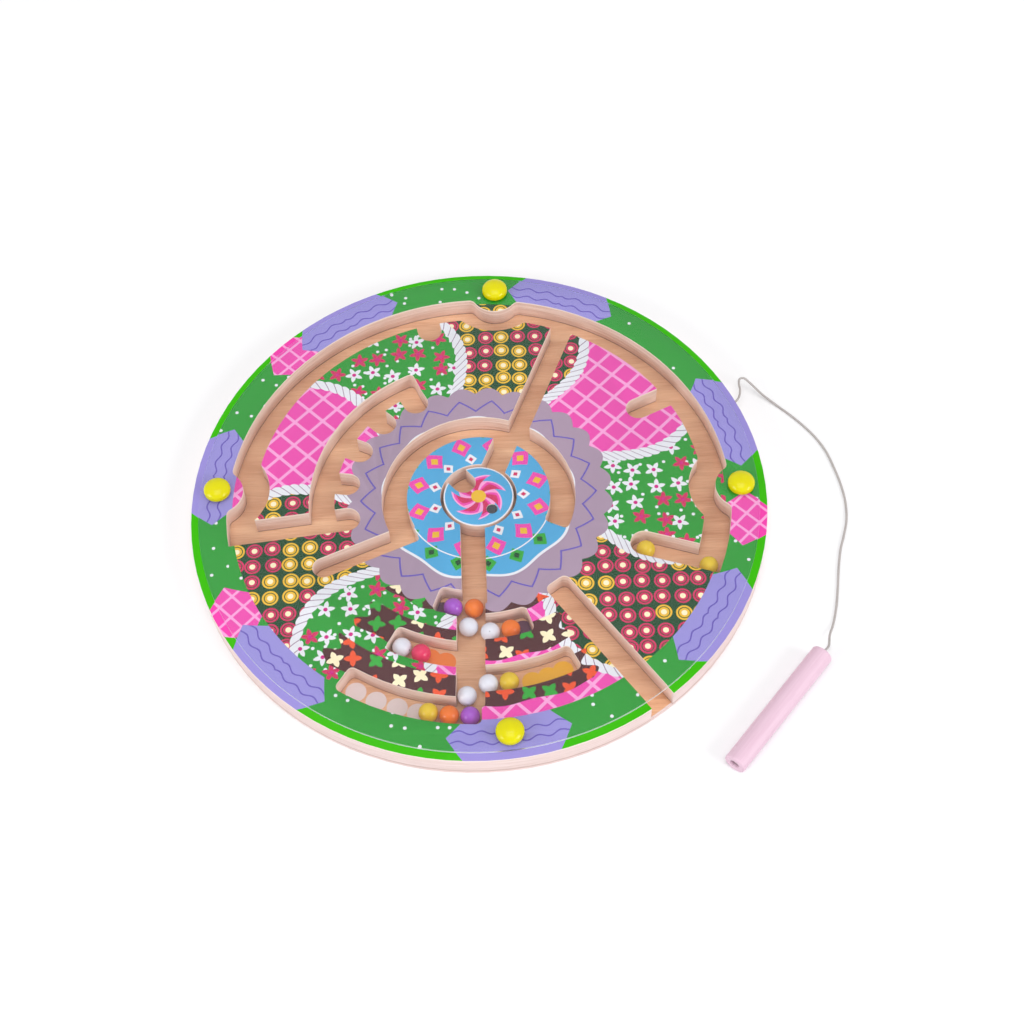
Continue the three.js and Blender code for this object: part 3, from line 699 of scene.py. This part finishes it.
# The colour spots printed in the channels show which bead belongs there: centre, radius, ink
SPOT_WHITE, SPOT_ORANGE = colour(228, 214, 216), colour(238, 120, 26)
SPOT_YELLOW, SPOT_PURPLE = colour(240, 180, 2), colour(78, 20, 84)
FLOOR_SPOTS = [
    ((-64.0, -105.0), 5.2, SPOT_WHITE), ((-54.0, -110.5), 5.2, SPOT_WHITE),
    ((-43.6, -114.6), 5.2, SPOT_WHITE), ((-33.6, -118.0), 5.2, SPOT_WHITE),
    ((-27.0, -88.0), 5.2, SPOT_ORANGE), ((-19.3, -90.5), 5.2, SPOT_ORANGE),
    ((20.0, -74.4), 5.4, SPOT_PURPLE), ((-20.4, -61.6), 5.4, SPOT_PURPLE),
    ((23.5, -103.5), 5.2, SPOT_YELLOW), ((31.5, -101.2), 5.2, SPOT_YELLOW),
    ((39.0, -98.2), 5.2, SPOT_YELLOW),
]


def floor_material():
    """The backing's plywood, with the colour spots on the channels' floors."""
    material, tree, shader = new_material("channel_floor", Specular_IOR_Level=0.15)
    place, x, y, z = place_in_mm(tree)
    wall = 1 - facing_up(tree)
    rim = x.with_length(y) > BOARD_R - 1.0
    ink, inked = SPOT_WHITE, None
    for (spot_x, spot_y), radius, tone in FLOOR_SPOTS:
        spot = (x - spot_x).with_length(y - spot_y) < radius
        ink = mixed(tree, spot, ink, tone)
        inked = spot if inked is None else inked.max(spot)
    plywood_shader(tree, shader, place, wall, rim, FLOOR_TONES, ink,
                   inked * (z > FLOOR_Z - INK_DEPTH) * 0.9)
    return material


def turntable_material():
    """A light blue face with a twisted pink and crimson whirl."""
    material, tree, shader = new_material("printed_turntable", Specular_IOR_Level=0.12)
    place, x, y, z = place_in_mm(tree)
    art = Print(tree, x, y, BLUE)
    whirl = (art.angle * (7 / 360) + art.r * 0.055 + 3).fract()
    blade = art.r < (14.6 - whirl * 5.2)
    art.lay(blade, PALE_PINK)
    art.lay(blade * (whirl < 0.72) * (art.r < (13.4 - whirl * 5)), PINK)
    art.lay(blade * (whirl < 0.5) * (art.r < (11.8 - whirl * 5)), CRIMSON)
    art.lay(art.r < 3.9, GOLD)
    art.lay(art.r > 17.6, OFF_WHITE)
    plywood_shader(tree, shader, place, 1 - facing_up(tree), 0.0, WALL_TONES, art.ink,
                   z > PRINT_Z - FIT_GAP - INK_DEPTH)
    return material


def lacquer_material(name, tone, shade, specks=0.0, coat=0.25):
    """A glossy finish that drifts between a tone and a shade, with a thin clear coat."""
    material, tree, shader = new_material(name, Specular_IOR_Level=0.16, Coat_Weight=coat,
                                          Coat_Roughness=0.06)
    place = place_in_mm(tree)[0]
    out = use_group(tree, LACQUER, Place=place, Tone=tone, Shade=shade, Specks=specks)
    feed(tree, shader.inputs["Base Color"], out["Color"])
    feed(tree, shader.inputs["Roughness"], out["Roughness"])
    bump(tree, shader, out["Height"], 0.12, 0.1)
    return material


def cover_material():
    """Clear acrylic with a sawn, frosted edge. Rays that leave the pieces below pass it unbent, so
    that the print is lit as the table is and the beads' highlights stay crisp."""
    material, tree, shader = new_material(
        "clear_acrylic", Base_Color=(0.97, 0.985, 0.99, 1), Transmission_Weight=1.0, IOR=1.35,
        Specular_IOR_Level=0.12)
    place = place_in_mm(tree)[0]
    feed(tree, shader.inputs["Roughness"], (1 - facing_up(tree)) * 0.43 + 0.02)
    bump(tree, shader, noise(tree, place, 0.02, 1, 0.5), 0.05, 0.2)
    rays = add(tree, "LightPath").outputs
    shadow, diffuse, glossy, bent = (Field(tree, rays[f"Is {kind} Ray"])
                                     for kind in ("Shadow", "Diffuse", "Glossy", "Transmission"))
    passing = shadow.max(diffuse).max(glossy * (1 - bent))
    blend = add(tree, "MixShader", Fac=passing)
    clear = add(tree, "BsdfTransparent", Color=(0.96, 0.975, 0.98, 1))
    tree.links.new(shader.outputs[0], blend.inputs[1])
    tree.links.new(clear.outputs[0], blend.inputs[2])
    tree.links.new(blend.outputs[0], tree.nodes["Material Output"].inputs[0])
    return material


def metal_material(name, tone, rough):
    """Bare metal with fine tool marks along X, in its tone and in seven tenths of it."""
    material, tree, shader = new_material(name, Metallic=1.0)
    place = place_in_mm(tree)[0]
    marks = noise(tree, scaled(tree, place, (0.8, 6, 6)), 1.0, 3)
    feed(tree, shader.inputs["Base Color"], ramp(tree, marks, [
        (0.3, tuple(0.7 * c for c in tone[:3]) + (1,)), (0.7, tone)]))
    feed(tree, shader.inputs["Roughness"], marks * 0.2 + rough)
    bump(tree, shader, marks, 0.2, 0.05)
    return material


# The cord's fibre in a dark and a light tone: on the braid the dark one is painted shade between
# strands, on the glued end a random darker fibre.
CORD_SHADE, CORD_TONE = colour(126, 118, 118), colour(200, 194, 191)


def cord_material():
    """A fine braid: two sets of strands wind round the cord in opposite ways, and the hollows
    between them are darkened towards the dark tone as painted shade.
    """
    material, tree, shader = new_material("braided_cord", Specular_IOR_Level=0.3)
    uv = add(tree, "SeparateXYZ", Vector=add(tree, "UVMap", {"uv_map": "UVMap"}).outputs[0])
    around, along = (Field(tree, s) for s in uv.outputs[:2])
    left = ((around * 3 + along / 1.5) * (2 * math.pi)).sin()
    right = ((around * 3 - along / 1.5) * (2 * math.pi)).sin()
    strands = left.abs().max(right.abs())
    feed(tree, shader.inputs["Base Color"], ramp(tree, strands, [
        (0.5, CORD_SHADE), (0.95, CORD_TONE)]))
    feed(tree, shader.inputs["Roughness"], 0.95 - strands * 0.2)
    bump(tree, shader, strands, 0.6, 0.12)
    return material


def fibre_material():
    """The same fibre on the cord's glued end, which has no braid of its own to follow."""
    material, tree, shader = new_material("cord_fibre", Specular_IOR_Level=0.3)
    place = place_in_mm(tree)[0]
    strands = noise(tree, place, 1.6, 2)
    feed(tree, shader.inputs["Base Color"], ramp(tree, strands, [
        (0.35, CORD_SHADE), (0.65, CORD_TONE)]))
    feed(tree, shader.inputs["Roughness"], 0.95 - strands * 0.2)
    bump(tree, shader, strands, 0.5, 0.12)
    return material


# The pieces, the cord first: its route is in shares of the board's radius and of the cord's rise

CORD_RADIUS = 0.6
CORD_LYING = 0.65
CORD_HEIGHT = 7.0
CORD_ANGLE = 22.5
WAND_R, WAND_L, WAND_ROUND, WAND_RING = 5.6, 76.0, 0.9, 3.0
MAGNET_R, MAGNET_DEPTH = 2.3, 7.5
BORE_R, BORE_MOUTH_R, BORE_FLARE, BORE_DEPTH = 0.9, 1.2, 0.3, 12.0
WAND_END_R, WAND_END_ANGLE, WAND_HEADING = 1.2907 * BOARD_R, -29.93, 228.87
CORD_SHARES = [
    (0.956, 0.4093, 1.0472), (0.9633, 0.4373, 1.1417), (0.962, 0.4667, 1.189),
    (0.9667, 0.4867, 1.1732), (0.9827, 0.4927, 1.0787), (1.0027, 0.4787, 0.874),
    (1.0467, 0.4393, 0.3386), (1.094, 0.398, 0.0394), (1.1387, 0.352, 0), (1.1813, 0.3007, 0),
    (1.2193, 0.2447, 0), (1.2467, 0.186, 0), (1.2667, 0.1113, 0), (1.2813, 0.0333, 0),
    (1.286, -0.0453, 0), (1.2787, -0.1107, 0), (1.2613, -0.1707, 0), (1.242, -0.2267, 0),
    (1.2267, -0.292, 0), (1.2133, -0.366, 0), (1.196, -0.4507, 0), (1.176, -0.5173, 0.0236),
    (1.1573, -0.562, 0.2126),
]


def polar(radius, angle, height=0.0):
    """The point (r cos a, r sin a, h), with the angle in degrees."""
    turn = math.radians(angle)
    return np.array([radius * math.cos(turn), radius * math.sin(turn), height])


def lay_cord():
    """The cord's own route: out of the rim, over itself once, along the table, into the wand."""
    out, back = polar(1, CORD_ANGLE), polar(1, WAND_HEADING + 180)
    end = polar(WAND_END_R, WAND_END_ANGLE)
    hole = np.array([0, 0, CORD_HEIGHT])
    shares = np.array(CORD_SHARES)
    middle = np.column_stack([
        shares[:, :2] * BOARD_R, CORD_LYING + shares[:, 2] * (CORD_HEIGHT - CORD_LYING)])
    knots = np.vstack([
        out * (BOARD_R - 0.2) + hole, out * (BOARD_R + 2.6) + hole, middle,
        end + 5.5 * back + [0, 0, 0.9 * WAND_R], end + 2.4 * back + [0, 0, WAND_R],
        end - 0.6 * back + [0, 0, WAND_R]])
    path = smooth_route(knots)
    points, faces, uv = tube(path, CORD_RADIUS)
    cord = make_piece("cord_braid", points, faces, "cord", "cord", cord_material(), uv)


lay_cord()

eased_copy("routed_board", "maze_board", 0.5, "board", board_material())
eased_copy("backing_disc", "backing_board", 0.4, "board", floor_material())
eased_copy("turntable_face", "turntable", 0.3, "turntable_disc",
           turntable_material())


def make_cover():
    """A flat disc with a small round on both edges, a film of air above the print: (r, z) turned
    about the vertical. A ring inside each edge keeps the round's normals off the flat faces."""
    low, inner = PRINT_Z + AIR_FILM, COVER_R - SUPPORT_RING
    profile = eased([(0, low), (inner, low), (COVER_R, low), (COVER_R, COVER_TOP),
                     (inner, COVER_TOP), (0, COVER_TOP)], COVER_ROUND)
    points, faces = turned(profile, 256)
    make_piece("cover_sheet", points, faces, "board", "clear_cover",
               cover_material())


make_cover()

YELLOW_PLASTIC = lacquer_material(
    "yellow_plastic", colour(222, 215, 0), colour(212, 198, 0), coat=0.12)


def make_caps():
    """A thin domed shell: a short skirt, then a quarter of an ellipse, inside and outside, at
    (a cos t, skirt + b sin t), turned about the vertical."""
    turn = np.linspace(0, np.pi / 2, 15)[:, None]
    bore, hollow = CAP_R - CAP_WALL, CAP_RISE - CAP_WALL
    outer = np.hstack([CAP_R * np.cos(turn), CAP_SKIRT + CAP_RISE * np.sin(turn)])
    inner = np.hstack([bore * np.cos(turn), CAP_SKIRT + hollow * np.sin(turn)])[::-1]
    outer[-1, 0] = inner[0, 0] = 0
    skirt = eased([(bore, CAP_SKIRT), (bore, 0), (CAP_R, 0), (CAP_R, CAP_SKIRT)], CAP_ROUND)
    profile = np.vstack([inner, skirt, outer])
    profile = profile[np.r_[True, np.abs(np.diff(profile, axis=0)).sum(1) > 1e-6]]
    points, faces = turned(profile, 64)
    for number, angle in enumerate(CAP_ANGLES, 1):
        spot = polar(CAP_SPOT_R, angle, COVER_TOP + AIR_FILM)
        make_piece(f"cap_dome_{number}", points + spot, faces, "board", f"screw_cap_{number}",
                   YELLOW_PLASTIC)


make_caps()

BEAD_FINISH = {
    "purple": lacquer_material("purple_lacquer", colour(168, 78, 199), colour(142, 54, 176)),
    "orange": lacquer_material("orange_lacquer", colour(243, 118, 6), colour(224, 90, 2)),
    "white": lacquer_material("white_lacquer", colour(230, 226, 235), colour(212, 208, 221), 0.8),
    "red": lacquer_material("red_lacquer", colour(234, 32, 94), colour(208, 18, 74)),
    "yellow": lacquer_material("yellow_lacquer", colour(230, 193, 26), colour(212, 168, 10)),
}


def make_beads():
    """A ball: the half circle (R cos t, R sin t), from pole to pole, turned about the vertical."""
    latitude = np.linspace(-np.pi / 2, np.pi / 2, 33)
    profile = BEAD_R * np.column_stack([np.cos(latitude), np.sin(latitude)])
    profile[[0, -1], 0] = 0
    points, faces = turned(profile, 56)
    for body in sorted(frame["bodies"]):
        if not body.startswith("bead_"):
            continue
        tint, number = body.split("_")[1:]
        node = f"{tint}_bead_{number}"
        low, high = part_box(node)
        centre = (np.array(low) + np.array(high)) / 2 / MM
        make_piece(f"{tint}_ball_{number}", points + centre, faces, body, node,
                   BEAD_FINISH[tint])


make_beads()


def wand_material():
    """Pink satin paint over a turned dowel: fibres telegraph through it along the wand."""
    material, tree, shader = new_material("pink_paint", Specular_IOR_Level=0.4, Coat_Weight=0.15,
                                          Coat_Roughness=0.3)
    source = add(tree, "TexCoord").outputs["Object"]
    along = add(tree, "Mapping", {"vector_type": "TEXTURE"}, Vector=source,
                Rotation=(0, 0, math.radians(WAND_HEADING))).outputs[0]
    place = scaled(tree, along, (1000, 1000, 1000))
    fibres = noise(tree, scaled(tree, place, (0.06, 1.5, 1.5)), 1.0, 4, 0.6)
    brush = noise(tree, scaled(tree, place, (0.015, 0.3, 0.3)), 1.0, 2, 0.5)
    tone = fibres * 0.5 + brush * 0.5
    feed(tree, shader.inputs["Base Color"], ramp(tree, tone, [
        (0.35, colour(228, 196, 213)), (0.68, colour(219, 182, 201))]))
    feed(tree, shader.inputs["Roughness"], 0.42 + fibres * 0.15)
    bump(tree, shader, fibres, 0.2, 0.06)
    return material


def make_wand():
    """A turned dowel with rounded ends, a bore for the cord and a recess for the magnet, laid along
    its heading: (r, h) turns about a level axis. A ring near each end keeps the sides straight."""
    profile = eased([
        (0, MAGNET_DEPTH), (MAGNET_R, MAGNET_DEPTH), (MAGNET_R, 0), (WAND_R, 0),
        (WAND_R, WAND_RING), (WAND_R, WAND_L - WAND_RING), (WAND_R, WAND_L),
        (BORE_MOUTH_R, WAND_L), (BORE_R, WAND_L - BORE_FLARE), (BORE_R, WAND_L - BORE_DEPTH),
        (0, WAND_L - BORE_DEPTH)], WAND_ROUND)
    points, faces = turned(profile, 64)
    ahead, side = polar(1, WAND_HEADING), polar(1, WAND_HEADING + 90)
    end = polar(WAND_END_R, WAND_END_ANGLE, WAND_R)
    laid = (end + np.outer(WAND_L - points[:, 2], ahead) + np.outer(points[:, 0], side)
            + np.outer(points[:, 1], [0, 0, 1.0]))
    make_piece("painted_wand", laid, faces, "wand", "wand", wand_material())


make_wand()

STEEL = metal_material("zinc_steel", (0.30, 0.31, 0.33, 1), 0.28)
BLACK_STEEL = lacquer_material("blackened_steel", colour(62, 62, 68), colour(46, 46, 52), coat=0.1)


def make_slug():
    """A short steel pin, (r, z) turned about its own axis, with a low crown flush with the
    turntable's face."""
    low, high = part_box("turntable_slug")
    centre = (np.array(low) + np.array(high)) / 2 / MM
    bottom, top = low[2] / MM, high[2] / MM
    profile = eased([(0, bottom), (SLUG_R, bottom), (SLUG_R, top - SLUG_CROWN), (0, top)],
                    SLUG_ROUND)
    points, faces = turned(profile, 48)
    make_piece("slug_pin", points + [centre[0], centre[1], 0], faces, "turntable_disc",
               "turntable_slug", BLACK_STEEL)


make_slug()

NICKEL = metal_material("nickel", (0.55, 0.54, 0.52, 1), 0.2)
node_finish = {"wand_magnet": NICKEL, "turntable_pivot": YELLOW_PLASTIC,
               "cord_end": fibre_material()}
for number in range(1, len(CAP_ANGLES) + 1):
    node_finish[f"cover_screw_{number}"] = STEEL
    node_finish[f"cap_base_{number}"] = YELLOW_PLASTIC
for node, finish in node_finish.items():
    frame["nodes"][node].data.materials[0] = finish


# The table, the lamps and the background


def background_rays(tree):
    """1 for the rays that look at the background: from the camera, a gloss or clear acrylic."""
    rays = add(tree, "LightPath").outputs
    seen = Field(tree, rays["Is Camera Ray"]).max(Field(tree, rays["Is Glossy Ray"]))
    return seen.max(Field(tree, rays["Is Transmission Ray"]))


TABLE_HALF = 6.0
TABLE_GLOW, FAR_GLOW, GLOW_REACH = 0.12, 0.6, 1200


def make_table():
    """A flat white table. Seen as background it glows a little, and more from half of the reach on:
    distance / reach - 1/2 is added, between none and the far glow, because the lamps fall off."""
    half = TABLE_HALF
    mesh = bpy.data.meshes.new("table")
    corners = [(-half, -half, 0), (half, -half, 0), (half, half, 0), (-half, half, 0)]
    mesh.from_pydata(corners, [], [(0, 1, 2, 3)])
    table = bpy.data.objects.new("table", mesh)
    bpy.context.scene.collection.objects.link(table)
    material, tree, shader = new_material("white_table", Roughness=0.9, Specular_IOR_Level=0.0)
    shader.inputs["Base Color"].default_value = (0.86, 0.86, 0.87, 1)
    shader.inputs["Emission Color"].default_value = (1, 1, 1, 1)
    _, x, y, _ = place_in_mm(tree)
    far = (x.with_length(y) / GLOW_REACH - 0.5).max(0).min(FAR_GLOW)
    feed(tree, shader.inputs["Emission Strength"], background_rays(tree) * (TABLE_GLOW + far))
    mesh.materials.append(material)


LAMP_DISTANCE = 3.0


def make_light():
    """Three softboxes, each at an azimuth and an elevation and facing the board, and a white
    world. The clear cover reflects the world but not the boxes, whose hard outlines would hide
    the maze in low views."""
    world = bpy.data.worlds.new("studio")
    bpy.context.scene.world = world
    world.use_nodes = True
    tree = world.node_tree
    lamp = tree.nodes["Background"]
    lamp.inputs["Color"].default_value = (1, 1, 1, 1)
    seen = background_rays(tree)
    feed(tree, lamp.inputs["Strength"], seen * 0.5 + 0.5)
    spared = bpy.data.collections.new("not_lit_by_softboxes")
    spared.objects.link(bpy.data.objects["cover_sheet"])
    spared.collection_objects[0].light_linking.link_state = "EXCLUDE"
    for name, azimuth, elevation, side, power in (
        ("softbox_right", -32, 26, 1.4, 38.0), ("softbox_left", -150, 24, 1.4, 32.0),
        ("softbox_above", -90, 80, 2.0, 32.0),
    ):
        data = bpy.data.lights.new(name, "AREA")
        data.shape, data.size, data.size_y = "RECTANGLE", side, side
        data.energy = power
        light = bpy.data.objects.new(name, data)
        light.light_linking.receiver_collection = spared
        flat = polar(math.cos(math.radians(elevation)), azimuth)
        spot = np.array([flat[0], flat[1], math.sin(math.radians(elevation))]) * LAMP_DISTANCE
        ahead = -spot / np.linalg.norm(spot)
        level = np.cross(ahead, [0, 0, 1.0])
        level /= np.linalg.norm(level)
        matrix = np.eye(4)
        matrix[:3, 0], matrix[:3, 1], matrix[:3, 2] = level, np.cross(level, ahead), -ahead
        matrix[:3, 3] = spot
        light.matrix_world = Matrix(matrix.tolist())
        bpy.context.scene.collection.objects.link(light)


make_table()
make_light()
bpy.context.scene.view_settings.view_transform = "Standard"

bpy.context.view_layer.update()
